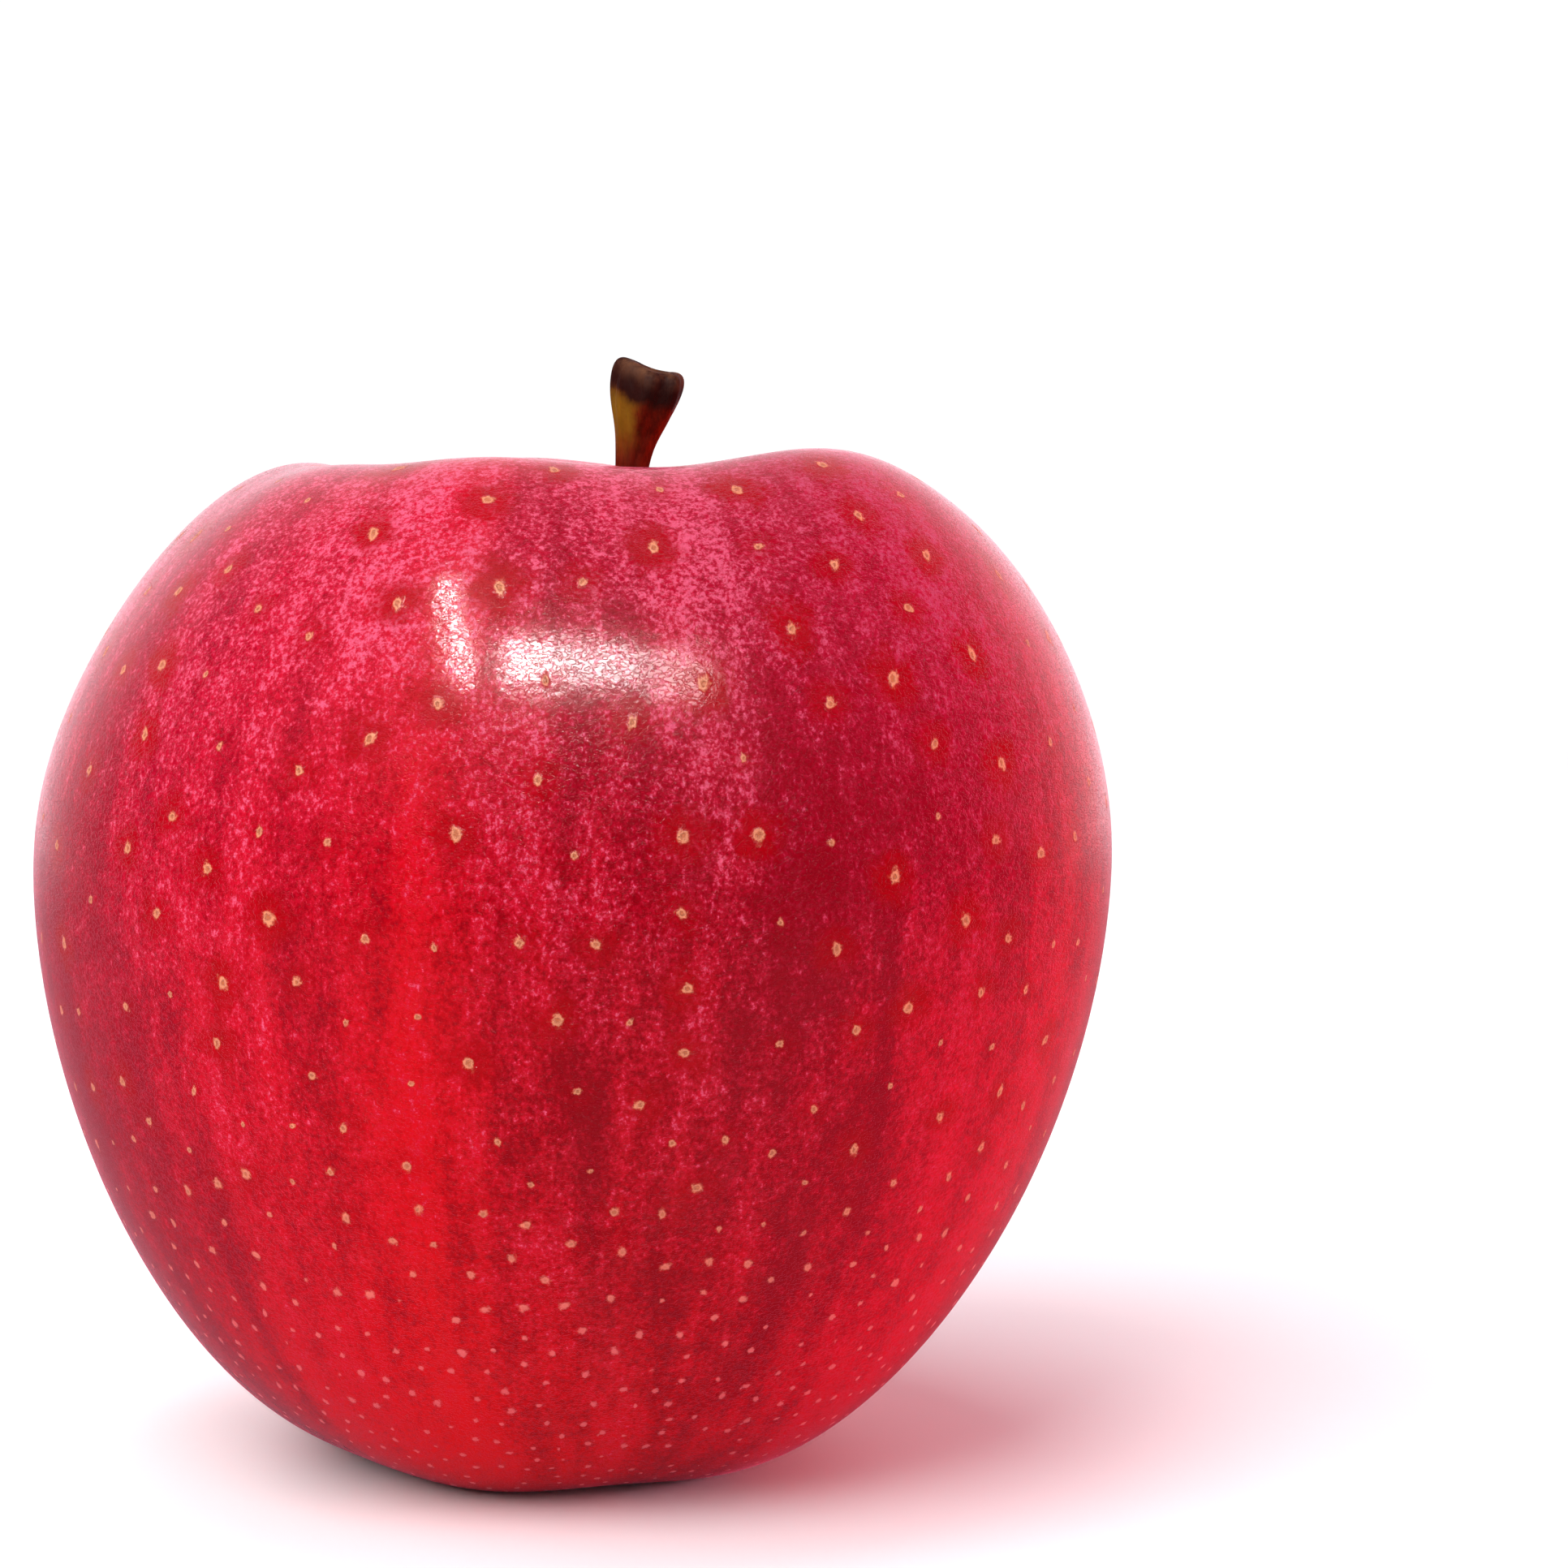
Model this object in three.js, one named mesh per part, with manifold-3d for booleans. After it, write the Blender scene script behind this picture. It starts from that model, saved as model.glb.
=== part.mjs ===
// A ripe red dessert apple standing on its calyx end: the fruit, its stem, five dried sepals
// and the withered stamens between them. Millimetres, +Z up, the ground at z = 0.
// A heading is measured round the fruit from the front (-Y), growing towards +X.
import * as THREE from "three";
import { mergeVertices } from "three/addons/utils/BufferGeometryUtils.js";
import Module from "manifold-3d";

const { degToRad, lerp, smoothstep } = THREE.MathUtils;

// Fruit: overall sizes
const width = 76.2; // left to right at the waist
const depth = 74.3; // front to back at the waist
const crownHeight = 71.0; // mean height of the ring of bumps round the stem cavity
const waistHeight = 43.0; // where the fruit is widest
const crownRadius = 19.0; // centre ring of those bumps
const footRadius = 11.5; // centre ring of the lobes that the fruit stands on
const padWidth = 2.6; // radial width of the flat resting land on each lobe
const padSink = 0.2; // how far the lobes are pressed flat
const stemCavityDepth = 16.0; // below the crown
const calyxBasinDepth = 7.0; // above the ground

// Fruit: how full its outline is, as the lengths of the curve's handles
const shoulderRise = 13.5; // straight up from the waist
const crownReach = 8.0; // straight out from the crown
const footReach = 12.5; // straight out from the resting land
const flankDrop = 21.0; // straight down from the waist
const cavityMouth = 7.0; // straight in from the crown
const cavityThroat = [3.5, 1.5]; // out and up from the stem's seat
const basinMouth = 2.0; // straight in from the resting land
const basinThroat = 2.5; // straight out from the calyx's seat

// Fruit: what makes it uneven
const lobeCount = 5;
const lobeHeading = degToRad(-19);
const bellyRib = 0.005; // swelling of the lobes, as a part of the radius there
const crownRib = 0.03;
const footRib = 0.05;
const crownWave = 0.55; // rise and fall of the crown over the lobes
const footWave = 1.0; // arch between two lobes at the foot
const threeSided = 0.25; // flattening towards a rounded triangle
const crownTilt = 3.2; // how much higher the near shoulder stands, at the full radius
const tiltHeading = degToRad(20);
const lean = 1.9; // the crown's offset to the right of the foot
const stemShift = 2.2; // the stem's further offset from the middle of the crown

// Stem
const stemLength = 23.0;
const stemFootRadius = 1.8;
const stemNeckRadius = 1.12;
const stemHeadRadius = 2.4;
const stemFootHeight = 8.0; // over which the foot narrows to the neck
const stemFlareLength = 8.0; // below the tip, where the neck starts to widen
const stemHeadDrop = 1.2; // from the tip down to the widest part of the head
const stemFlareHold = 3.2; // straight up from the neck before it widens
const stemHeadHold = 2.0; // straight down from the widest part
const stemBendRight = 3.1; // sideways travel of the tip
const stemBendFront = 0.8;
const stemHeadSlant = 0.3; // fall of the head's end, per unit to the right

// Calyx
const sepalCount = 5;
const sepalLength = 5.0;
const sepalWidth = 3.0;
const sepalThickness = 0.5;
const sepalRingRadius = 2.7; // inner faces, at the root
const sepalCurl = 1.2; // inward travel of the tips
const stamenCount = 8;
const stamenLength = 3.0;
const stamenRadius = 0.2;
const stamenLean = degToRad(12);
const stamenRingRadius = 0.45; // at the threads' roots
const stamenBaseHeight = 1.0;

// Clearances
const seatMargin = 0.4; // flat land left round a seated piece
const stamenMargin = 0.9; // between the stamens' base and the sepals

// Fineness
const fruitSegments = 60;
const fruitSteps = 10; // for each curve of the outline
const stemSegments = 16;
const stemSteps = 6;
const sepalSteps = 6;
const stamenSides = 5;
const stamenBaseSides = 12;

const waistRadius = width / 2;
const cavityFloor = crownHeight - stemCavityDepth;
const stemSeatRadius = stemFootRadius + seatMargin;
const calyxSeatRadius = sepalRingRadius + sepalThickness + seatMargin;

const skin = new THREE.MeshStandardMaterial({ color: 0xb4142c, roughness: 0.32, metalness: 0 });
const bark = new THREE.MeshStandardMaterial({ color: 0x4e2a12, roughness: 0.7, metalness: 0 });
const driedLeaf = new THREE.MeshStandardMaterial({ color: 0x6b4a2c, roughness: 0.85, metalness: 0 });
const driedThread = new THREE.MeshStandardMaterial({ color: 0x3b2717, roughness: 0.9, metalness: 0 });

// Moves every vertex of a geometry with a function that changes a point.
function reshape(geometry, move) {
  const places = geometry.getAttribute("position");
  const point = new THREE.Vector3();
  for (let i = 0; i < places.count; i++) {
    move(point.fromBufferAttribute(places, i));
    places.setXYZ(i, point.x, point.y, point.z);
  }
  geometry.computeVertexNormals();
  return geometry;
}

function namedMesh(name, geometry, material) {
  const mesh = new THREE.Mesh(geometry, material);
  mesh.name = name;
  return mesh;
}

// The sideways place of the fruit's own axis at a height.
function axisX(z) {
  return lean * (z / crownHeight - 0.5);
}

// Half of the fruit's section, from the calyx's seat over foot, waist and crown to the stem's.
function fruitOutline() {
  const land = padWidth / 2;
  const outline = new THREE.Path();
  outline.moveTo(0, calyxBasinDepth);
  outline.lineTo(calyxSeatRadius, calyxBasinDepth);
  outline.bezierCurveTo(
    calyxSeatRadius + basinThroat, calyxBasinDepth,
    footRadius - land - basinMouth, 0,
    footRadius - land, 0,
  );
  outline.lineTo(footRadius + land, 0);
  outline.bezierCurveTo(
    footRadius + land + footReach, 0,
    waistRadius, waistHeight - flankDrop,
    waistRadius, waistHeight,
  );
  outline.bezierCurveTo(
    waistRadius, waistHeight + shoulderRise,
    crownRadius + crownReach, crownHeight,
    crownRadius, crownHeight,
  );
  outline.bezierCurveTo(
    crownRadius - cavityMouth, crownHeight,
    stemSeatRadius + cavityThroat[0], cavityFloor + cavityThroat[1],
    stemSeatRadius, cavityFloor,
  );
  outline.lineTo(0, cavityFloor);
  return outline.getPoints(fruitSteps);
}

// Turns a point of the round fruit into one of the lobed, tilted, leaning fruit. The two seats
// stay flat and round, because every change fades out before it reaches them.
function growLobes(point) {
  const heading = Math.atan2(point.x, -point.y);
  const radius = Math.hypot(point.x, point.y);
  const height = point.z;
  const share = radius / waistRadius;
  const upper = height > waistHeight;
  const seat = upper ? stemSeatRadius : calyxSeatRadius;
  const ring = upper ? crownRadius : footRadius;
  const outside = smoothstep(radius, seat, ring);
  const near = outside * (1 - smoothstep(radius, ring, waistRadius));
  const lobe = Math.cos(lobeCount * (heading - lobeHeading));

  const rib = lobe * (bellyRib * share ** 2 + (upper ? crownRib : footRib) * near);
  const swollen = radius * (1 + rib) - threeSided * share ** 2 * Math.cos(3 * heading);
  let lift = near * (footWave * (1 - lobe) / 2 - padSink);
  if (upper) {
    const nearTop = smoothstep(height, waistHeight, crownHeight);
    lift = near * crownWave * lobe;
    lift += outside * nearTop * share * crownTilt * Math.cos(heading - tiltHeading);
  }
  const shift = axisX(height) + (upper ? stemShift * (1 - outside) : 0);
  point.x = swollen * Math.sin(heading) + shift;
  point.y = -swollen * Math.cos(heading) * lerp(1, depth / width, outside);
  point.z = Math.max(height + lift, 0);
}

function makeFruit() {
  const geometry = new THREE.LatheGeometry(fruitOutline(), fruitSegments);
  geometry.rotateX(Math.PI / 2);
  return namedMesh("fruit", reshape(geometry, growLobes), skin);
}

// A turned stalk with a narrow neck and a flared head, then bent over and its end slanted.
function makeStem() {
  const neckTop = stemLength - stemFlareLength;
  const headHeight = stemLength - stemHeadDrop;
  const outline = new THREE.Path();
  outline.moveTo(0, 0);
  outline.lineTo(stemFootRadius, 0);
  outline.bezierCurveTo(
    stemNeckRadius, stemFootHeight / 4,
    stemNeckRadius, stemFootHeight / 2,
    stemNeckRadius, stemFootHeight,
  );
  outline.lineTo(stemNeckRadius, neckTop);
  outline.bezierCurveTo(
    stemNeckRadius, neckTop + stemFlareHold,
    stemHeadRadius, headHeight - stemHeadHold,
    stemHeadRadius, headHeight,
  );
  outline.bezierCurveTo(
    stemHeadRadius, stemLength - stemHeadDrop / 3,
    stemHeadRadius / 2, stemLength,
    0, stemLength,
  );
  const geometry = new THREE.LatheGeometry(outline.getPoints(stemSteps), stemSegments);
  geometry.rotateX(Math.PI / 2);
  reshape(geometry, (point) => {
    const bend = (point.z / stemLength) ** 2;
    const headward = smoothstep(point.z, neckTop, stemLength);
    point.z -= stemHeadSlant * point.x * headward;
    point.x += stemBendRight * bend;
    point.y -= stemBendFront * bend;
  });
  const stem = namedMesh("stem", geometry, bark);
  stem.position.set(axisX(cavityFloor) + stemShift, 0, cavityFloor);
  return stem;
}

// A pointed leaf hanging from its straight root, its tip curled towards the calyx's axis.
function makeSepal(index) {
  const leaf = new THREE.Shape();
  leaf.moveTo(-sepalWidth / 2, 0);
  leaf.lineTo(sepalWidth / 2, 0);
  leaf.quadraticCurveTo(sepalWidth / 2, sepalLength / 2, 0, sepalLength);
  leaf.quadraticCurveTo(-sepalWidth / 2, sepalLength / 2, -sepalWidth / 2, 0);
  const options = { depth: sepalThickness, bevelEnabled: false, curveSegments: sepalSteps };
  const geometry = new THREE.ExtrudeGeometry(leaf, options);
  geometry.rotateX(-Math.PI / 2);
  geometry.translate(0, -(sepalRingRadius + sepalThickness), 0);
  reshape(geometry, (point) => {
    point.y += sepalCurl * (point.z / sepalLength) ** 2;
  });
  const sepal = namedMesh("sepal_" + (index + 1), geometry, driedLeaf);
  sepal.rotation.z = lobeHeading + (index / sepalCount) * 2 * Math.PI;
  return sepal;
}

const wasm = await Module();
wasm.setup();

function solidOf(geometry) {
  geometry.deleteAttribute("normal");
  geometry.deleteAttribute("uv");
  const merged = mergeVertices(geometry, 1e-5);
  return new wasm.Manifold(
    new wasm.Mesh({
      numProp: 3,
      vertProperties: merged.getAttribute("position").array,
      triVerts: new Uint32Array(merged.getIndex().array),
    }),
  );
}

function geometryOf(solid) {
  const { vertProperties, triVerts } = solid.getMesh();
  const geometry = new THREE.BufferGeometry();
  geometry.setAttribute("position", new THREE.BufferAttribute(vertProperties, 3));
  geometry.setIndex(new THREE.BufferAttribute(triVerts, 1));
  geometry.computeVertexNormals();
  return geometry;
}

// A round base on the calyx's seat with a ring of leaning threads under it, joined into one.
// Each thread is rooted half way up inside the base.
function makeStamens() {
  const baseRadius = sepalRingRadius - stamenMargin;
  const rootDepth = stamenBaseHeight / 2;
  const base = new THREE.CylinderGeometry(baseRadius, baseRadius, stamenBaseHeight, stamenBaseSides);
  base.rotateX(Math.PI / 2);
  base.translate(0, 0, -stamenBaseHeight / 2);
  let tuft = solidOf(base);
  for (let i = 0; i < stamenCount; i++) {
    const thread = new THREE.CylinderGeometry(stamenRadius, stamenRadius, stamenLength, stamenSides);
    thread.rotateX(Math.PI / 2);
    thread.translate(0, 0, -stamenLength / 2);
    thread.rotateX(-stamenLean);
    thread.translate(0, -stamenRingRadius, -rootDepth);
    thread.rotateZ((i / stamenCount) * 2 * Math.PI);
    tuft = tuft.add(solidOf(thread));
  }
  return namedMesh("stamens", geometryOf(tuft), driedThread);
}

function makeCalyx() {
  const calyx = new THREE.Group();
  calyx.position.set(axisX(calyxBasinDepth), 0, calyxBasinDepth);
  for (let i = 0; i < sepalCount; i++) calyx.add(makeSepal(i));
  calyx.add(makeStamens());
  return calyx;
}

const apple = new THREE.Group();
const fruit = makeFruit();
apple.add(fruit, makeStem(), makeCalyx());

// The origin is on the ground under the middle of the fruit's box.
const middle = new THREE.Box3().setFromObject(fruit).getCenter(new THREE.Vector3());
apple.position.set(-middle.x, -middle.y, 0);

export default apple;
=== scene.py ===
import math

import bpy
import numpy as np
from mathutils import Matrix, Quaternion, Vector
from bpy.props import FloatProperty, FloatVectorProperty, IntProperty, PointerProperty


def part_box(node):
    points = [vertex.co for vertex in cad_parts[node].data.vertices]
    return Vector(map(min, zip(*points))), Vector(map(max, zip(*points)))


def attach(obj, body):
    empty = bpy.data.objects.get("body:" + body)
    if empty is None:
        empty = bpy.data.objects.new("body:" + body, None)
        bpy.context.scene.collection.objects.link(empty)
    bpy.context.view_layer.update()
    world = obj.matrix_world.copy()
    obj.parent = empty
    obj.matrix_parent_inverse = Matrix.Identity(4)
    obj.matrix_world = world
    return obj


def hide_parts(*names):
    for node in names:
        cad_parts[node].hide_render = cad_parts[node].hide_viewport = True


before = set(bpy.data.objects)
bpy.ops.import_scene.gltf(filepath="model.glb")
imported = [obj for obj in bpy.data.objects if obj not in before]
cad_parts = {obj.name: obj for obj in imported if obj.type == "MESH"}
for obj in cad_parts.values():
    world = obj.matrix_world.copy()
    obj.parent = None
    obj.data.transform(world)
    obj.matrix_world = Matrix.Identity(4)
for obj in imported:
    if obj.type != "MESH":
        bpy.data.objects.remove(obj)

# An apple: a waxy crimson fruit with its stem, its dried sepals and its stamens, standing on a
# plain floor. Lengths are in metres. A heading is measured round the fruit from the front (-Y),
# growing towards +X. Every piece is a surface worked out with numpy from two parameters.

bl_info = {
    "name": "Apple",
    "version": (1, 0, 0),
    "blender": (4, 5, 0),
    "location": "3D View > Sidebar > Apple",
    "description": "Grows an apple with its stem, sepals and stamens round a fixed frame",
    "category": "Add Mesh",
}

MILLIMETRE = 0.001
TURN = 2 * math.pi


# ---- settings


def length(name, millimetres, description):
    """A length that a user may change, given in millimetres."""
    default = millimetres * MILLIMETRE
    return number(name, default, description, unit="LENGTH", precision=5)


def angle(name, degrees, description):
    return number(name, math.radians(degrees), description, subtype="ANGLE")


def share(name, default, description):
    return number(name, default, description, subtype="FACTOR")


def number(name, default, description, **kind):
    return FloatProperty(name=name, description=description, default=default, **kind)


def colour(name, red, green, blue, description):
    """A colour that a user may change, given as it should look on a screen, from 0 to 255."""
    screen = np.array([red, green, blue]) / 255
    linear = np.where(screen > 0.04045, ((screen + 0.055) / 1.055) ** 2.4, screen / 12.92)
    return FloatVectorProperty(
        name=name, description=description, default=tuple(linear), subtype="COLOR", min=0, max=1
    )


class FruitSizes(bpy.types.PropertyGroup):
    crown_height: length("Crown height", 71.0, "Mean height of the stem cavity's rim")
    waist_height: length("Waist height", 43.0, "Height at which the fruit is widest")
    crown_radius: length("Crown radius", 19.0, "Centre ring of the stem cavity's rim")
    foot_radius: length("Foot radius", 10.0, "Centre ring of the resting lobes")
    land: length("Resting land", 2.6, "Radial width of the flat land on each lobe")
    sink: length("Sink", 0.2, "How far the lobes are pressed flat")
    cavity_depth: length("Stem cavity depth", 16.0, "Depth below the crown")
    basin_depth: length("Calyx basin depth", 7.0, "Height of the calyx basin's floor")
    stem_seat: length("Stem seat", 2.2, "Radius of the flat floor under the stem")
    calyx_seat: length("Calyx seat", 3.6, "Radius of the flat floor over the sepals")
    shoulder_rise: length("Shoulder rise", 13.5, "Handle straight up from the waist")
    crown_reach: length("Crown reach", 8.0, "Handle straight out from the crown")
    foot_reach: length("Foot reach", 13.4, "Handle straight out from the resting land")
    flank_drop: length("Flank drop", 21.0, "Handle straight down from the waist")
    waist_ease: length("Waist ease", 2.0, "Reach over which the outline is evened")
    lobe_heading: angle("Lobe heading", -19, "Heading of the first of the five lobes")
    belly_rib: share("Belly rib", 0.005, "Swelling of the lobes at the waist")
    crown_rib: share("Crown rib", 0.03, "Swelling of the lobes at the crown")
    foot_rib: share("Foot rib", 0.022, "Swelling of the lobes at the foot")
    crown_wave: length("Crown wave", 0.55, "Rise and fall over the lobes")
    foot_wave: length("Foot wave", 0.35, "Arch between two lobes at the foot")
    filled_valley: share("Filled valley", 1.6, "How far the two left lobes run together")
    three_sided: length("Three sides", 0.25, "Flattening towards a rounded triangle")
    crown_tilt: length("Crown tilt", 3.2, "How much higher the near shoulder stands")
    tilt_heading: angle("Tilt heading", 20, "Heading of the highest shoulder")
    lean: length("Lean", 1.9, "Offset of the crown to the right of the foot")
    stem_shift: length("Stem shift", 2.2, "Offset of the stem from the crown's middle")
    unevenness: length("Unevenness", 0.10, "Height of the skin's slow swellings")


class SkinLook(bpy.types.PropertyGroup):
    deep: colour("Deep crimson", 130, 0, 8, "The darkest streaks of the skin")
    bright: colour("Bright red", 198, 5, 10, "The brightest streaks of the skin")
    mottle: colour("Pink mottle", 214, 90, 122, "Pale mottling over the red")
    blush: colour("Blush", 190, 24, 60, "The soft flecks under the mottling")
    # A darker copy of the pink mottle: painted shade on the right shoulder.
    painted_shade_mottle: colour("Dusky mottle", 176, 54, 90, "The mottling on the shaded shoulder")
    # Mauve painted sheen on the flanks and shoulders, not a colour of the skin itself.
    painted_sheen: colour("Haze", 160, 16, 58, "The mauve on flanks and shoulders")
    halo: colour("Clean red", 156, 0, 6, "The clear ring round each lenticel")
    lenticel: colour("Lenticel", 218, 142, 104, "The large lenticels")
    lenticel_pink: colour("Small lenticel", 214, 88, 92, "The small lenticels near the foot")
    lenticel_eye: colour("Lenticel eye", 172, 84, 42, "The middle of a large lenticel")
    lenticel_rim: colour("Lenticel rim", 170, 46, 26, "The darker edge of a lenticel")
    cavity: colour("Cavity green", 168, 146, 54, "The green round the stem")
    russet: colour("Russet", 150, 98, 52, "The brown net in the stem cavity")
    edge_sheen: colour("Edge sheen", 255, 150, 180, "The bloom that shows at the edges")
    gloss: share("Roughness", 0.13, "Roughness of the waxy skin")
    seed: IntProperty(name="Seed", description="Picks where the lenticels lie", default=11)


class StemSizes(bpy.types.PropertyGroup):
    foot_radius: length("Foot radius", 1.8, "Radius where the stem leaves the fruit")
    neck_radius: length("Neck radius", 1.12, "Radius of the thinnest part")
    head_radius: length("Head radius", 2.4, "Radius of the flared end")
    foot_height: length("Foot height", 8.0, "From the foot up to the neck")
    flare_length: length("Flare length", 8.0, "From the tip down to the neck")
    head_drop: length("Head drop", 1.2, "From the tip down to the widest part")
    flare_hold: length("Flare hold", 3.2, "Handle straight up from the neck")
    head_hold: length("Head hold", 2.0, "Handle straight down from the widest part")
    scar_depth: length("Scar depth", 0.5, "Depth of the hollow scar at the end")
    bend_right: length("Bend right", 3.1, "Sideways travel of the tip")
    bend_front: length("Bend front", 0.8, "Travel of the tip towards the front")
    slant: share("Slant", 0.3, "Fall of the end, per unit to the right")
    bark: colour("Bark", 112, 26, 6, "The red-brown neck")
    olive: colour("Olive", 138, 100, 18, "The olive side of the neck")
    cork: colour("Cork", 42, 9, 5, "The near-black head")
    scar: colour("Scar", 104, 66, 44, "The paler rim and scar of the end")


class CalyxSizes(bpy.types.PropertyGroup):
    sepal_length: length("Sepal length", 5.0, "From the root to the tip")
    sepal_width: length("Sepal width", 3.0, "Width of the root")
    sepal_thickness: length("Sepal thickness", 0.5, "Thickness of the root")
    ring_radius: length("Ring radius", 2.7, "Inner face of the sepals at the root")
    curl: length("Curl", 1.2, "Inward travel of the tips")
    thread_count: IntProperty(name="Threads", description="Stamens in the tuft", default=15)
    thread_length: length("Thread length", 3.0, "Length of a stamen")
    thread_radius: length("Thread radius", 0.12, "Radius of a stamen")
    thread_lean: angle("Thread lean", 12, "Outward lean of the stamens")
    base_height: length("Base height", 1.0, "Height of the tuft's base")
    base_gap: length("Base gap", 0.9, "Gap between the tuft's base and the sepals' ring")
    leaf: colour("Dry leaf", 112, 80, 48, "The dried sepals")
    leaf_edge: colour("Dry edge", 58, 38, 24, "The sepals' edges and tips")
    thread: colour("Dry thread", 66, 44, 28, "The withered stamens")


class StageLook(bpy.types.PropertyGroup):
    floor_size: length("Floor size", 6000, "Side of the square floor")
    floor_colour: colour("Floor", 250, 248, 250, "The plain pale floor")
    # A darker copy of the floor, shown only in reflections: painted shade.
    floor_mirrored_painted_shade: colour("Mirrored floor", 126, 116, 121, "The floor as the skin mirrors it")
    fill_colour: colour("Fill", 255, 240, 247, "The light from all round")
    floor_fade: length("Floor fade", 170, "Where the floor starts to fade")
    fill: number("Fill", 0.36, "Strength of the light from all round")
    mirror_fill: number("Mirrored fill", 1.6, "Strength of the reflected white")
    dark_from: number("Dark from", 0.15, "Forward part of a dark reflection")
    white_from: number("White from", 0.9, "Forward part of a white reflection")
    key: number("Key", 18.5, "Watts of the large light on the left")
    top: number("Top", 3.1, "Watts of the large light overhead")
    rim_colour: colour("Rim", 255, 170, 190, "The light behind on the right")
    rim: number("Rim", 11.0, "Watts of the light behind on the right")
    gloss: number("Gloss", 30.0, "Watts of the near reflection")
    strip_roll: angle("Strip roll", 37, "Turn of the narrow reflection")
    camera_right: length("Camera right", 14.9, "The camera's place along X")
    camera_back: length("Camera back", 380, "The camera's place in front")
    camera_height: length("Camera height", 100.6, "The camera's height")
    camera_pitch: angle("Camera pitch", 7.87, "How far the camera looks down")
    lens: number("Lens", 123.9, "Focal length in millimetres")


# ---- numpy shapes


def ease(value, start, end):
    """0 up to start, 1 from end on, and a smooth cubic step between them."""
    t = np.clip((value - start) / (end - start), 0, 1)
    return t * t * (3 - 2 * t)


def bump_at(heading, middle, width):
    """A bell of the given width in degrees round a heading in degrees, periodic in a full turn."""
    gap = (heading - math.radians(middle) + math.pi) % TURN - math.pi
    return np.exp(-((gap / math.radians(width)) ** 2))


def headings(count):
    """Evenly spaced headings round a full turn."""
    return np.linspace(0, TURN, count, endpoint=False)


def cubic(steps, *points):
    """A cubic Bezier curve of four points, each weighted by its term of (1 - t + t) cubed."""
    t = np.linspace(0, 1, steps + 1)[:, None]
    start, leave, arrive, end = np.array(points, float)
    outer = (1 - t) ** 3 * start + 3 * (1 - t) ** 2 * t * leave
    return outer + 3 * (1 - t) * t**2 * arrive + t**3 * end


def evenly(line, count):
    """Count points at equal distances along a line of points, and the distance of each."""
    steps = np.linalg.norm(np.diff(line, axis=0), axis=1)
    travelled = np.concatenate([[0], np.cumsum(steps)])
    distance = np.linspace(0, travelled[-1], count)
    return np.stack([np.interp(distance, travelled, column) for column in line.T], axis=1), distance


def averaged(line, spacing, reach):
    """Each point of an evenly spaced line, averaged with its neighbours by a bell of reach."""
    half = int(3 * reach / spacing)
    bell = np.exp(-0.5 * (np.arange(-half, half + 1) * spacing / reach) ** 2)
    bell /= bell.sum()
    padded = np.pad(line, ((half, half), (0, 0)), mode="edge")
    return np.stack([np.convolve(column, bell, mode="valid") for column in padded.T], axis=1)


def skin_over(rings):
    """Points and faces over a stack of rings, an array of ring, corner, xyz. Four-sided faces join
    each ring to the next, and a fan of triangles closes each end on the middle of its last ring."""
    count, around = rings.shape[:2]
    points = np.concatenate([rings.reshape(-1, 3), rings[[0, -1]].mean(axis=1)])
    here = np.arange(around)
    beside = (here + 1) % around
    low = np.arange(count - 1)[:, None] * around
    high = low + around
    sides = np.stack([low + here, low + beside, high + beside, high + here], axis=-1)
    last = (count - 1) * around
    first_pole = np.full(around, count * around)
    start = np.stack([first_pole, beside, here], axis=-1)
    end = np.stack([first_pole + 1, last + here, last + beside], axis=-1)
    return points, [sides.reshape(-1, 4), start, end]


def mesh_of(name, surfaces):
    """One mesh from closed surfaces, each a pair of points and lists of faces."""
    points, corners, sizes = [], [], []
    for surface_points, face_lists in surfaces:
        offset = sum(len(p) for p in points)
        points.append(surface_points)
        for faces in face_lists:
            corners.append((faces + offset).ravel())
            sizes.append(np.full(len(faces), faces.shape[1]))
    points = np.concatenate(points)
    corners = np.concatenate(corners)
    sizes = np.concatenate(sizes)
    mesh = bpy.data.meshes.new(name)
    mesh.vertices.add(len(points))
    mesh.vertices.foreach_set("co", points.astype(np.float32).ravel())
    mesh.loops.add(len(corners))
    mesh.loops.foreach_set("vertex_index", corners.astype(np.int32))
    mesh.polygons.add(len(sizes))
    starts = np.concatenate([[0], np.cumsum(sizes)[:-1]])
    mesh.polygons.foreach_set("loop_start", starts.astype(np.int32))
    mesh.polygons.foreach_set("use_smooth", np.ones(len(sizes), bool))
    mesh.update(calc_edges=True)
    if mesh.validate():
        raise RuntimeError(f"{name}: the faces don't make a clean mesh")
    return mesh


def write_attribute(mesh, name, values):
    """Stores one number or one vector for each point of a mesh."""
    kind, key = ("FLOAT_VECTOR", "vector") if values.ndim == 2 else ("FLOAT", "value")
    attribute = mesh.attributes.new(name, kind, "POINT")
    attribute.data.foreach_set(key, values.astype(np.float32).ravel())


def add_piece(name, mesh, material, slot, *nodes):
    """Shows a mesh as a piece that stands for CAD nodes and moves with the frame's one body."""
    mesh.materials.append(material)
    piece = bpy.data.objects.new(name, mesh)
    bpy.context.scene.collection.objects.link(piece)
    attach(piece, "root")
    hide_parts(*nodes)
    return piece


# ---- shader nodes


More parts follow.
